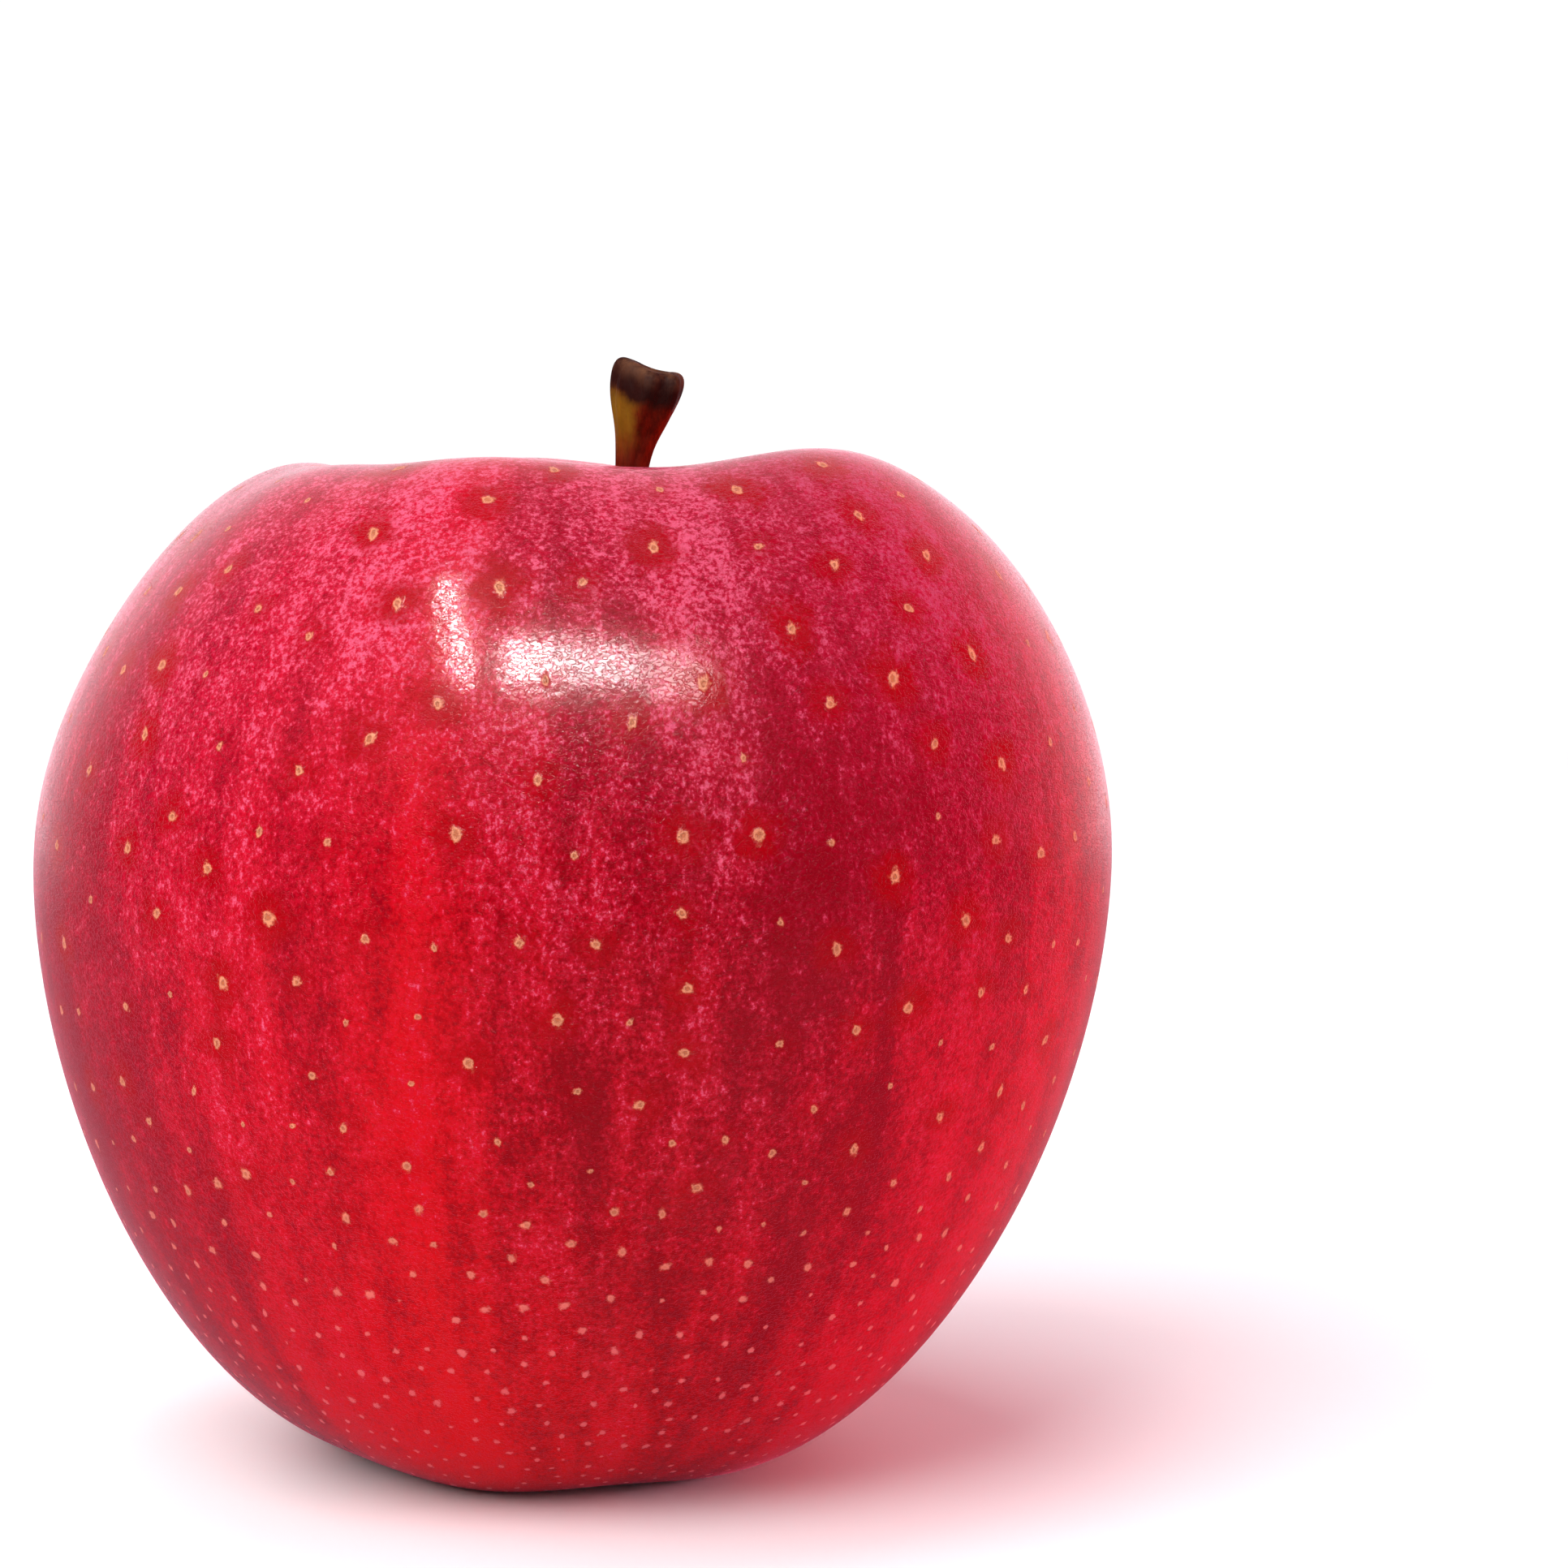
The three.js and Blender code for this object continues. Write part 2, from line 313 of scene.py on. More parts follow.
class Amount:
    """A number that changes over a surface. Arithmetic on it adds Math nodes."""

    def __init__(self, finish, socket):
        self.finish = finish
        self.socket = socket

    def _math(self, operation, *terms):
        node = self.finish.node("ShaderNodeMath", {"operation": operation}, dict(enumerate(terms)))
        return Amount(self.finish, node.outputs[0])

    def __add__(self, other):
        return self._math("ADD", self, other)

    def __sub__(self, other):
        return self._math("SUBTRACT", self, other)

    def __rsub__(self, other):
        return self._math("SUBTRACT", other, self)

    def __mul__(self, other):
        return self._math("MULTIPLY", self, other)

    __radd__ = __add__
    __rmul__ = __mul__

    def ease(self, start, end):
        """0 at start and 1 at end, level beyond them, with a smooth step between."""
        settings = {"interpolation_type": "SMOOTHSTEP"}
        inputs = {"Value": self, "From Min": start, "From Max": end}
        node = self.finish.node("ShaderNodeMapRange", settings, inputs)
        return Amount(self.finish, node.outputs["Result"])


class Finish:
    """The nodes of a material or of the world. Every node comes from the method node."""

    def __init__(self, owner):
        owner.use_nodes = True
        self.owner = owner
        self.tree = owner.node_tree
        self.tree.nodes.clear()

    def node(self, kind, settings=None, inputs=None):
        """Adds a node, sets its settings first, then gives each input its value or its link."""
        node = self.tree.nodes.new(kind)
        for name, value in (settings or {}).items():
            setattr(node, name, value)
        for key, value in (inputs or {}).items():
            if isinstance(value, Amount):
                value = value.socket
            if isinstance(value, bpy.types.NodeSocket):
                self.tree.links.new(value, node.inputs[key])
            else:
                node.inputs[key].default_value = value
        return node

    def attribute(self, name):
        """A vector attribute of the mesh."""
        return self.node("ShaderNodeAttribute", {"attribute_name": name}).outputs["Vector"]

    def amount(self, name):
        """A number attribute of the mesh."""
        node = self.node("ShaderNodeAttribute", {"attribute_name": name})
        return Amount(self, node.outputs["Fac"])

    def vector_math(self, operation, *vectors):
        inputs = dict(enumerate(vectors))
        return self.node("ShaderNodeVectorMath", {"operation": operation}, inputs).outputs

    def stretched(self, vector, factors):
        """A vector with each of its numbers times its own factor."""
        return self.vector_math("MULTIPLY", vector, factors)["Vector"]

    def size_of(self, vector):
        return Amount(self, self.vector_math("LENGTH", vector)["Value"])

    def part(self, vector, axis):
        """One of a vector's three numbers, named X, Y or Z."""
        node = self.node("ShaderNodeSeparateXYZ", None, {"Vector": vector})
        return Amount(self, node.outputs[axis])

    def place(self):
        """The place on the object, in metres."""
        return self.node("ShaderNodeTexCoord").outputs["Object"]

    def noise(self, vector, grain, detail=2.0, roughness=0.5, flat=1, tall=1):
        """Noise about 0.5, whose largest swellings are about grain metres apart. The vector's X and
        Y are first multiplied by flat, and its Z by tall."""
        if (flat, tall) != (1, 1):
            vector = self.stretched(vector, (flat, flat, tall))
        inputs = {"Vector": vector, "Scale": 1 / grain, "Detail": detail, "Roughness": roughness}
        return Amount(self, self.node("ShaderNodeTexNoise", None, inputs).outputs[0])

    def mix(self, factor, first, second):
        """A colour between two others."""
        inputs = {0: factor, 6: opaque(first), 7: opaque(second)}
        return self.node("ShaderNodeMix", {"data_type": "RGBA"}, inputs).outputs[2]

    def bump(self, height, distance, normal=None):
        """A surface normal roughened by a height, whose full range is distance metres."""
        inputs = {"Height": height, "Distance": distance}
        if normal is not None:
            inputs["Normal"] = normal
        return self.node("ShaderNodeBump", None, inputs).outputs["Normal"]

    def surface(self, shader):
        """Shows a shader on the material or the world, and returns that owner."""
        kind = "World" if isinstance(self.owner, bpy.types.World) else "Material"
        self.node("ShaderNodeOutput" + kind, None, {"Surface": shader.outputs[0]})
        return self.owner

    def principled(self, inputs):
        return self.node("ShaderNodeBsdfPrincipled", None, inputs)


def opaque(value):
    """A colour as four numbers, or a socket as it is."""
    return value if isinstance(value, bpy.types.NodeSocket) else (*value, 1.0)


def new_finish(name):
    return Finish(bpy.data.materials.new(name))


# ---- fruit


OUTLINE_STEPS = 120  # steps in the shortest curve of the outline
BASIN_THROAT = 0.0025  # handle straight out from the calyx's seat
BASIN_MOUTH = 0.002  # handle straight in from the resting land
CAVITY_MOUTH = 0.007  # handle straight in from the crown
CAVITY_THROAT = (0.0035, 0.0015)  # handle out and up from the stem's seat
SKIN_RINGS = 252
SKIN_CORNERS = 384  # in each ring


def fruit_outline(sizes, waist_radius):
    """Half of the fruit's section from the calyx's seat to the stem's seat, as rows of radius and
    height: two straight seats and four cubic curves with the resting land between the first two.
    Outside both hollows each point is averaged with its neighbours, which evens the curvature."""
    land_in = sizes.foot_radius - sizes.land / 2
    land_out = sizes.foot_radius + sizes.land / 2
    crown = sizes.crown_height
    floor = crown - sizes.cavity_depth
    basin = sizes.basin_depth
    seat, top_seat, ring = sizes.calyx_seat, sizes.stem_seat, sizes.crown_radius
    mouth = (ring - CAVITY_MOUTH, crown)
    waist = (waist_radius, sizes.waist_height)
    below_waist = (waist_radius, sizes.waist_height - sizes.flank_drop)
    above_waist = (waist_radius, sizes.waist_height + sizes.shoulder_rise)
    out, up = CAVITY_THROAT
    curves = (
        (1, (seat, basin), (seat + BASIN_THROAT, basin), (land_in - BASIN_MOUTH, 0), (land_in, 0)),
        (4, (land_out, 0), (land_out + sizes.foot_reach, 0), below_waist, waist),
        (3, waist, above_waist, (ring + sizes.crown_reach, crown), (ring, crown)),
        (2, (ring, crown), mouth, (top_seat + out, floor + up), (top_seat, floor)),
    )
    pieces = [
        np.linspace((seat * 0.02, basin), (seat, basin), 30),
        *(cubic(part * OUTLINE_STEPS, *points) for part, *points in curves),
        np.linspace((top_seat, floor), (top_seat * 0.02, floor), 20),
    ]
    line, distance = evenly(np.concatenate(pieces), 1200)
    calm = averaged(line, distance[1], sizes.waist_ease)
    weight = ease(line[:, 1], 0.006, 0.016) * ease(line[:, 0], 0.005, 0.012)
    return line + weight[:, None] * (calm - line)


def grown(sizes, waist_radius, squeeze, heading, radius, height):
    """The lobed, tilted, leaning fruit's points for headings and points of its outline. A lobe is a
    cosine of five times the heading, and above the waist a bell fills the valley between the two
    lobes on the left. It swells the radius and waves the crown and the foot, where the nearness to
    those rings fades it in and out. The tilt lifts the near shoulder by a cosine of the heading,
    and the lean moves each height sideways."""
    part = radius / waist_radius
    upper = height > sizes.waist_height
    seat = np.where(upper, sizes.stem_seat, sizes.calyx_seat)
    ring = np.where(upper, sizes.crown_radius, sizes.foot_radius)
    outside = ease(radius, seat, ring)
    near = outside * (1 - ease(radius, ring, waist_radius))
    lobe = np.cos(5 * (heading - sizes.lobe_heading))
    shoulder = ease(height, sizes.waist_height, sizes.waist_height + sizes.shoulder_rise)
    valley = bump_at(heading, math.degrees(sizes.lobe_heading) - 36, 17)
    lobe = lobe + shoulder * sizes.filled_valley * valley
    rib = sizes.belly_rib * part**2 + np.where(upper, sizes.crown_rib, sizes.foot_rib) * near
    swollen = radius * (1 + lobe * rib) - sizes.three_sided * part**2 * np.cos(3 * heading)
    swollen = swollen + swellings(sizes, heading, height) * part**2
    near_top = ease(height, sizes.waist_height, sizes.crown_height)
    tilt = outside * near_top * part * sizes.crown_tilt * np.cos(heading - sizes.tilt_heading)
    top_lift = near * sizes.crown_wave * lobe + tilt
    foot_lift = near * (sizes.foot_wave * (1 - lobe) / 2 - sizes.sink)
    shift = sizes.lean * (height / sizes.crown_height - 0.5)
    shift = shift + upper * sizes.stem_shift * (1 - outside)
    x = swollen * np.sin(heading) + shift
    y = -swollen * np.cos(heading) * (1 - (1 - squeeze) * outside)
    z = np.maximum(height + np.where(upper, top_lift, foot_lift), 0)
    return np.stack(np.broadcast_arrays(x, y, z), axis=-1)


def swellings(sizes, heading, height):
    """Slow waves: seven sines of a whole multiple of the heading and of the height."""
    random = np.random.default_rng(5)
    total = 0
    for _ in range(7):
        turns = random.integers(1, 8)
        rise = random.uniform(-180, 180)
        total = total + np.sin(turns * heading + rise * height + random.uniform(0, TURN))
    return sizes.unevenness * total / math.sqrt(7)


class FruitShape:
    """The fruit's surface, fitted to its CAD node's box."""

    def __init__(self, sizes):
        self.sizes = sizes
        self.low, self.high = (np.array(corner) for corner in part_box("fruit"))
        width, depth = (self.high - self.low)[:2]
        self.waist_radius = width / 2
        self.squeeze = depth / width
        self.outline, self.distance = evenly(fruit_outline(sizes, self.waist_radius), SKIN_RINGS)
        self.heading = headings(SKIN_CORNERS)
        raw = self.raw_points(self.heading, self.outline[:, :1], self.outline[:, 1:])
        ends = raw.min(axis=(0, 1)), raw.max(axis=(0, 1))
        self.scale = (self.high - self.low) / (ends[1] - ends[0])
        self.shift = self.low - ends[0] * self.scale
        self.points = raw * self.scale + self.shift

    def raw_points(self, heading, radius, height):
        return grown(self.sizes, self.waist_radius, self.squeeze, heading, radius, height)

    def at(self, heading, distance):
        """Points of the skin at headings and at distances along the outline."""
        radius = np.interp(distance, self.distance, self.outline[:, 0])
        height = np.interp(distance, self.distance, self.outline[:, 1])
        return self.raw_points(heading, radius, height) * self.scale + self.shift


LENTICEL_HEIGHTS = (0.0, 0.10, 0.25, 0.45, 0.70, 1.0)  # parts of the crown's height
LENTICEL_SPACING = (1.3, 1.5, 2.2, 3.8, 4.9, 5.3)  # millimetres, at those heights
LENTICEL_RADIUS = (0.17, 0.21, 0.25, 0.31, 0.37, 0.40)


# Brighter and darker stripes down the skin: strength, and heading and width in degrees. The band
# at 75 degrees is painted light on the right flank and the band at -60 painted shade on the left
# flank; the others are the skin's own streaks.
STRIPES_AND_PAINTED_LIGHT = (
    (0.4, -15, 6),
    (0.25, 75, 22),
    (0.05, -38, 26),
    (-0.12, 0, 9),
    (-0.26, 24, 16),
    (-0.18, -60, 22),
)


def streaks_and_painted_light_at(heading, height):
    """How much brighter the red is: the sum of the stripes, less a bell of painted shade on the
    right shoulder, plus a slow wave round the back and a brighter foot, which is painted light
    standing in for the light thrown up from the floor."""
    stripes = sum(strength * bump_at(heading, *place) for strength, *place in STRIPES_AND_PAINTED_LIGHT)
    shoulder = 0.55 * bump_at(heading, 44, 24) * ease(height, 0.45, 0.8)
    slow = 0.2 * np.sin(3 * heading + 1) * (1 - bump_at(heading, 0, 70))
    return stripes - shoulder + slow + 0.3 * (1 - ease(height, 0.05, 0.35))


def mottle_and_painted_sheen_at(heading, height):
    """How much thicker the pale mottling is: more on the shoulders, where it is partly painted
    sheen, more on two sides, and less on the right shoulder, which is painted shade."""
    sides = 0.12 * np.sin(2 * heading + 0.8) - 0.12 * bump_at(heading, 52, 24)
    return 0.3 * ease(height, 0.62, 0.95) + sides


def painted_sheen_at(heading, height):
    """How thick the mauve painted sheen is: most on both flanks and the shoulders."""
    return 0.04 + 0.3 * np.sin(heading) ** 2 + 0.15 * ease(height, 0.6, 1.0)


def scatter_lenticels(shape, seed):
    """Lenticels over the skin: headings, distances along the outline and radii. Points are drawn
    evenly over the area, and each is kept if no kept one lies within the spacing for its height."""
    random = np.random.default_rng(seed)
    draws = 24000
    weight = np.cumsum(shape.outline[:, 0])
    distance = np.interp(random.uniform(0, weight[-1], draws), weight, shape.distance)
    heading = random.uniform(0, TURN, draws)
    height = np.interp(distance, shape.distance, shape.outline[:, 1]) / shape.sizes.crown_height
    spacing = np.interp(height, LENTICEL_HEIGHTS, LENTICEL_SPACING) * MILLIMETRE
    radius = np.interp(height, LENTICEL_HEIGHTS, LENTICEL_RADIUS) * MILLIMETRE
    place = shape.at(heading, distance)
    kept = []
    for i in range(draws):
        gaps = np.linalg.norm(place[kept] - place[i], axis=1)
        if not kept or gaps.min() > spacing[i]:
            kept.append(i)
    radius = radius[kept] * random.uniform(0.65, 1.2, len(kept))
    return heading[kept], distance[kept], radius


def lenticel_attributes(shape, points, seed):
    """For each point of the skin, what it needs to draw its nearest lenticel: the offset from the
    lenticel's middle, turned, stretched and measured in the lenticel's own radii; the distance in
    radii; its radius in millimetres; and a random number of its own."""
    heading, distance, radius = scatter_lenticels(shape, seed)
    step = 0.0005
    middle = shape.at(heading, distance)
    east = shape.at(heading + step / shape.waist_radius, distance) - middle
    north = shape.at(heading, distance + step) - shape.at(heading, distance - step)
    east /= np.linalg.norm(east, axis=1, keepdims=True)
    north -= (north * east).sum(axis=1, keepdims=True) * east
    north /= np.linalg.norm(north, axis=1, keepdims=True)

    middles_squared = (middle**2).sum(axis=1)
    batches = np.array_split(points, 24)
    nearest = np.concatenate(
        [np.argmin(middles_squared - 2 * rows @ middle.T, axis=1) for rows in batches]
    )
    random = np.random.default_rng(seed + 1)
    turn = random.uniform(-0.5, 0.5, len(radius))
    stretch = random.uniform(0.8, 1.55, len(radius))
    own = random.uniform(0, 1, len(radius))
    offset = points - middle[nearest]
    across = (offset * east[nearest]).sum(axis=1) / radius[nearest]
    along = (offset * north[nearest]).sum(axis=1) / radius[nearest]
    cos, sin = np.cos(turn[nearest]), np.sin(turn[nearest])
    wide = (across * cos + along * sin) * np.sqrt(stretch[nearest])
    tall = (along * cos - across * sin) / np.sqrt(stretch[nearest])
    reach = np.linalg.norm(offset, axis=1) / radius[nearest]
    return np.stack([wide, tall, own[nearest] * 20], axis=1), reach, radius[nearest] / MILLIMETRE


def skin_finish(look):
    """Waxy crimson skin. Streaks along the meridians run from deep to bright red, with painted
    light and shade on the flanks, the right shoulder and the foot, under a mauve painted sheen. A
    fine grain, thicker in some streaks and on the shoulders, where the thickening is partly painted
    sheen, lays a soft blush and then a sharper pink mottling over them; the mottling darkens to the
    right as painted shade. Each lenticel is a tan star with a dark eye and a darker rim in a ring
    of clean red.
    The stem cavity and the calyx basin turn green in rays, with brown russet. Two noises roughen
    the wax."""
    skin = new_finish("apple_skin")
    place = skin.attribute("skin_place")
    meridian = skin.attribute("meridian")
    height = skin.amount("skin_height")
    rightward_painted_shade = skin.amount("rightward_painted_shade")
    inside = skin.amount("inside_cavity")

    streaks = skin.noise(meridian, 0.0042, 3.0, 0.6, tall=0.16)
    patches = skin.noise(meridian, 0.012, tall=0.45)
    cells = skin.noise(place, 0.0017, 3.0, 0.6, tall=0.8)
    grain = skin.noise(place, 0.00036, 3.0, 0.7, tall=0.8)
    specks = skin.noise(place, 0.00017, 2.0, 0.6)

    offset = skin.attribute("lenticel_offset")
    flat = skin.stretched(offset, (1, 1, 0))
    reach = skin.amount("lenticel_reach")
    gate = reach.ease(2.3, 1.7)
    size = skin.amount("lenticel_size")
    own = skin.stretched(offset, (0, 0, 1))
    shifted = skin.vector_math("ADD", skin.stretched(offset, (0.55, 0.55, 1)), own)["Vector"]
    lumps = skin.noise(shifted, 1.0, 2.0, 0.6)
    frayed = skin.noise(offset, 0.35, 2.0, 0.6)
    star = skin.size_of(flat) * (1.9 - lumps * 1.9) + (frayed - 0.5) * 0.9
    body = star.ease(1.4, 0.55) * gate
    eye = star.ease(0.55, 0.2) * gate * height.ease(0.2, 0.4)
    clear = reach + (cells - 0.5) * 7.0 + (grain - 0.5) * 3.5
    mature = height.ease(0.15, 0.45)
    halo = clear.ease(6.4, 2.2) * mature * size.ease(0.2, 0.42)

    # The streaks' tone carries painted light and shade: darker left flank, brighter right flank,
    # darker right shoulder, brighter foot.
    tone = (streaks - 0.5) * 1.6 + (patches - 0.5) * 0.9 + skin.amount("streaks_and_painted_light")
    tone = tone + (cells - 0.5) * 0.8 + (grain - 0.5) * 1.7
    red = skin.mix((tone + 0.5).ease(0.0, 1.0), look.deep, look.bright)
    cover = (streaks - 0.5) * 2.1 + (patches - 0.5) * 1.9 + (cells - 0.5) * 2.2
    # The mottling thickens on the shoulders as partly painted sheen and thins on the right shoulder
    # as painted shade.
    cover = cover + height * 1.4 - 1.58 + skin.amount("mottle_and_painted_sheen")
    speckle = (grain - 0.5) * 6.4 + (specks - 0.5) * 2.4
    mottle = (speckle + cover).ease(-0.15, 1.2) * (1 - halo * 0.9)
    # The pink mottle turns to its darker copy towards the right: painted shade.
    pale = skin.mix(rightward_painted_shade.ease(0.1, 0.9), look.mottle, look.painted_shade_mottle)
    # Lays the mauve painted sheen over the red.
    red_under_painted_sheen = skin.mix(skin.amount("painted_sheen"), red, look.painted_sheen)
    soft = (speckle * 0.7 + cover + 0.8).ease(-0.6, 1.6)
    flecked = skin.mix(soft * 0.6, red_under_painted_sheen, look.blush)
    coloured = skin.mix(halo * 0.8, skin.mix(mottle * 0.8, flecked, pale), look.halo)
    corky = skin.mix(mature, look.lenticel_pink, look.lenticel)
    corky = skin.mix(eye * 0.75, corky, look.lenticel_eye)
    corky = skin.mix(star.ease(0.6, 1.1) * mature, corky, look.lenticel_rim)
    coloured = skin.mix(body * (0.78 + grain * 0.25), coloured, corky)

    net = skin.noise(place, 0.0012, 4.0, 0.7)
    rays = skin.noise(meridian, 0.0022, 3.0, 0.65, flat=0.4, tall=0.1)
    ground = (inside + (rays - 0.5) * 1.3 + (patches - 0.5) * 0.8).ease(0.45, 1.05)
    coloured = skin.mix(ground * 0.8, coloured, look.cavity)
    rough = (net * 0.5 + rays * 0.5 + inside * 0.25).ease(0.64, 0.80)
    rough = rough * inside.ease(0.4, 0.9) * 0.8
    coloured = skin.mix(rough, coloured, look.russet)

    leather = skin.noise(place, 0.00046, 2.0, 0.6, tall=1.5) - 0.5
    dimples = skin.noise(place, 0.0013, 3.0, 0.6)
    normal = skin.bump((leather * leather).ease(0.0, 0.0035), 0.00003)
    normal = skin.bump(dimples, 0.00003, normal)
    normal = skin.bump(body * (1 - eye * 2) + rough, 0.00004, normal)
    shader = skin.principled({
        "Base Color": coloured,
        "Roughness": look.gloss + body * 0.25 + rough * 0.4,
        "Specular IOR Level": 0.1,
        "Sheen Weight": 0.4,
        "Sheen Roughness": 0.22,
        "Sheen Tint": opaque(look.edge_sheen),
        "Normal": normal,
    })
    return skin.surface(shader)


class APPLE_OT_fruit(bpy.types.Operator):
    """Grow the fruit: skin and flesh in one piece, with its lenticels"""

    bl_idname = "apple.fruit"
    bl_label = "Fruit"

    def execute(self, context):
        look = context.scene.apple_skin
        sizes = context.scene.apple_fruit
        shape = FruitShape(sizes)
        points, faces = skin_over(shape.points)
        mesh = mesh_of("fruit_skin", [(points, faces)])

        def spread(rows):
            """Values for each ring, repeated round it, and once more for the two poles."""
            return np.concatenate([np.repeat(rows, len(shape.heading)), rows[[0, -1]]])

        distance = spread(shape.distance)
        radius = spread(shape.outline[:, 0])
        height = spread(shape.outline[:, 1])
        level = height / sizes.crown_height
        heading = np.concatenate([np.tile(shape.heading, len(shape.distance)), [0, 0]])
        round_x = shape.waist_radius * np.cos(heading)
        round_y = shape.waist_radius * np.sin(heading)
        cavity = 1 - ease(radius, 0.002, sizes.crown_radius * 0.8)
        basin = 0.95 - 0.95 * ease(radius, 0.003, sizes.foot_radius)
        offset, reach, size = lenticel_attributes(shape, points, look.seed)
        attributes = {
            "skin_place": np.stack([points[:, 0], points[:, 1], distance], axis=1),
            "meridian": np.stack([round_x, round_y, distance], axis=1),
            "skin_height": level,
            # how far round to the right a point is, where the mottle takes its painted shade
            "rightward_painted_shade": ease(np.sin(heading - 0.2), -0.2, 0.9),
            "inside_cavity": np.where(height > sizes.waist_height, cavity, basin),
            # red streaks with painted light and shade folded in
            "streaks_and_painted_light": streaks_and_painted_light_at(heading, level),
            # how thick the mauve painted sheen is
            "painted_sheen": painted_sheen_at(heading, level),
            # mottling with painted sheen on the shoulders and painted shade on the right
            "mottle_and_painted_sheen": mottle_and_painted_sheen_at(heading, level),
            "lenticel_offset": offset,
            "lenticel_reach": reach,
            "lenticel_size": size,
        }
        for name, values in attributes.items():
            write_attribute(mesh, name, values)
        add_piece("fruit_skin", mesh, skin_finish(look), "skin", "fruit")
        return {"FINISHED"}


# ---- stem


def stem_outline(sizes, end):
    """Half of the stem's section from its foot to the middle of its scar, as rows of radius and
    height: a narrowing foot, a straight neck, a flaring head, and a hollow end."""
    foot_top = sizes.foot_height
    neck_top = end - sizes.flare_length
    flare = neck_top + sizes.flare_hold
    head = end - sizes.head_drop
    scar = end - sizes.scar_depth
    foot, neck, wide = sizes.foot_radius, sizes.neck_radius, sizes.head_radius
    pieces = [
        np.linspace((foot * 0.05, 0), (foot, 0), 8),
        cubic(60, (foot, 0), (neck, foot_top / 4), (neck, foot_top / 2), (neck, foot_top)),
        cubic(60, (neck, neck_top), (neck, flare), (wide, head - sizes.head_hold), (wide, head)),
        cubic(40, (wide, head), (wide, end), (wide * 0.75, end), (wide * 0.62, end)),
        cubic(30, (wide * 0.62, end), (wide * 0.4, end), (wide * 0.3, scar), (wide * 0.02, scar)),
    ]
    return evenly(np.concatenate(pieces), 220)[0]


def stem_points(sizes, foot, stem_length, around):
    """Rings of the stem. Each ring is the outline's radius, ribbed lengthwise by waves of the
    heading that turn slowly with the height; the head is a little oval and its rim waves twice
    round it; then the whole bends over with the square of the height and its end is slanted."""
    outline = stem_outline(sizes, stem_length)
    radius, height = outline[:, :1], outline[:, 1:]
    heading = headings(around)
    along = height / stem_length
    headward = ease(height, stem_length - sizes.flare_length, stem_length)
    ribs = 0.035 * np.sin(5 * heading + 3 * along) + 0.025 * np.sin(8 * heading - 5 * along + 1)
    knots = 0.03 * np.sin(38 * along + np.sin(heading)) * (1 - headward)
    lumps = 0.06 * headward * np.sin(3 * heading + 0.6) + 0.05 * headward * np.cos(7 * heading)
    swollen = radius * (1 + ribs + knots + lumps)
    oval = 1 - 0.12 * headward
    x = swollen * np.sin(heading)
    y = -swollen * np.cos(heading) * oval
    rim = headward * ease(radius, 0, sizes.head_radius)
    wave = rim * 0.0002 * np.cos(2 * heading + math.pi)
    z = height - sizes.slant * x * headward + wave
    x = x + sizes.bend_right * along**2
    y = y - sizes.bend_front * along**2
    return np.stack([x + foot[0], y + foot[1], z + foot[2]], axis=-1), along, heading


def stem_finish(sizes):
    """Red-brown bark with fine lengthwise fibres, olive on its left side below the head, and a
    near-black corky head with a paler scar."""
    bark = new_finish("stem_bark")
    place = bark.attribute("stem_place")
    along = bark.part(place, "Z")
    side = bark.part(place, "X")
    body = bark.place()
    fibres = bark.noise(body, 0.00035, 3.0, 0.6, tall=0.12)
    blotches = bark.noise(body, 0.0016, 3.0, 0.6)
    scar = bark.amount("stem_scar")
    olive = (side * -0.6 + blotches * 0.9).ease(0.3, 0.9)
    olive = olive * along.ease(0.70, 0.86) * along.ease(0.94, 0.88)
    shade = bark.mix(fibres.ease(0.3, 0.7), [0.55 * v for v in sizes.bark], sizes.bark)
    shade = bark.mix(olive * 0.75, shade, sizes.olive)
    shade = bark.mix((along + (blotches - 0.5) * 0.12).ease(0.86, 0.93), shade, sizes.cork)
    shade = bark.mix(scar * blotches.ease(0.35, 0.65) * 0.8, shade, sizes.scar)
    relief = fibres * 0.5 + blotches * 0.5
    shader = bark.principled({
        "Base Color": shade,
        "Roughness": 0.5 + blotches * 0.3,
        "Specular IOR Level": 0.03,
        "Normal": bark.bump(relief, 0.00025),
    })
    return bark.surface(shader)


class APPLE_OT_stem(bpy.types.Operator):
    """Grow the stem: a ribbed stalk with a flared, corky head"""

    bl_idname = "apple.stem"
    bl_label = "Stem"

    def execute(self, context):
        sizes = context.scene.apple_stem
        low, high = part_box("stem")
        foot = (low.x + sizes.foot_radius, high.y - sizes.foot_radius, low.z)
        slanted = sizes.slant * sizes.head_radius * 0.75
        stem_length = high.z - low.z - slanted
        around = 96
        rings, along, heading = stem_points(sizes, foot, stem_length, around)
        mesh = mesh_of("stem_bark", [skin_over(rings)])
        grid = np.broadcast_to(along, rings.shape[:2])
        place = np.stack(np.broadcast_arrays(np.sin(heading), np.cos(heading), grid), axis=-1)
        poles = np.array([[0, 0, 0], [0, 0, 1]])
        write_attribute(mesh, "stem_place", np.concatenate([place.reshape(-1, 3), poles]))
        end = ease(np.arange(len(rings)) / len(rings), 0.86, 0.93)
        write_attribute(mesh, "stem_scar", np.concatenate([np.repeat(end, around), [0, 1]]))
        add_piece("stem_bark", mesh, stem_finish(sizes), "stem", "stem")
        return {"FINISHED"}


# ---- calyx


def calyx_centre():
    """The middle of the calyx on the floor of its basin, from the stamens' box."""
    low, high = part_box("stamens")
    return np.array([(low.x + high.x) / 2, (low.y + high.y) / 2, high.z])


